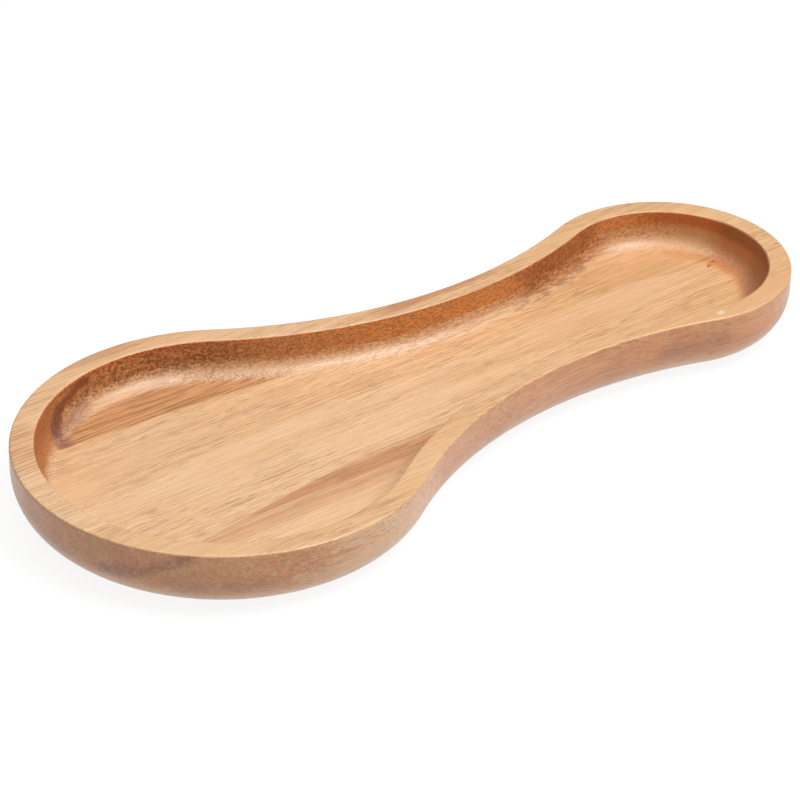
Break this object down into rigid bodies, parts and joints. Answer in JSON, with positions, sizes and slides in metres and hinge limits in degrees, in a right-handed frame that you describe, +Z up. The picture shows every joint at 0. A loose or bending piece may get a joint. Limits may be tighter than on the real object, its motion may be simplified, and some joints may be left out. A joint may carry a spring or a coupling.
{
  "type": "spoon rest",
  "caption": "Low wooden spoon rest in a spoon outline: a large round end, a hollow waist and a small round end, with one recess inside a flat rim to hold a cooking spoon and catch its drips.",
  "frame": {"origin": "middle of the length and width, on the flat underside", "axes": "+X along the length from the large end to the small end, +Y to the rear, +Z up from the table to the rim"},
  "size_m": [0.254, 0.1144, 0.0194],
  "materials": {
    "rear_board": "oiled, satin",
    "front_board": "oiled, satin"
  },
  "bodies": {
    "root": {"rear_board": "rear_board", "front_board": "front_board"}
  },
  "joints": []
}
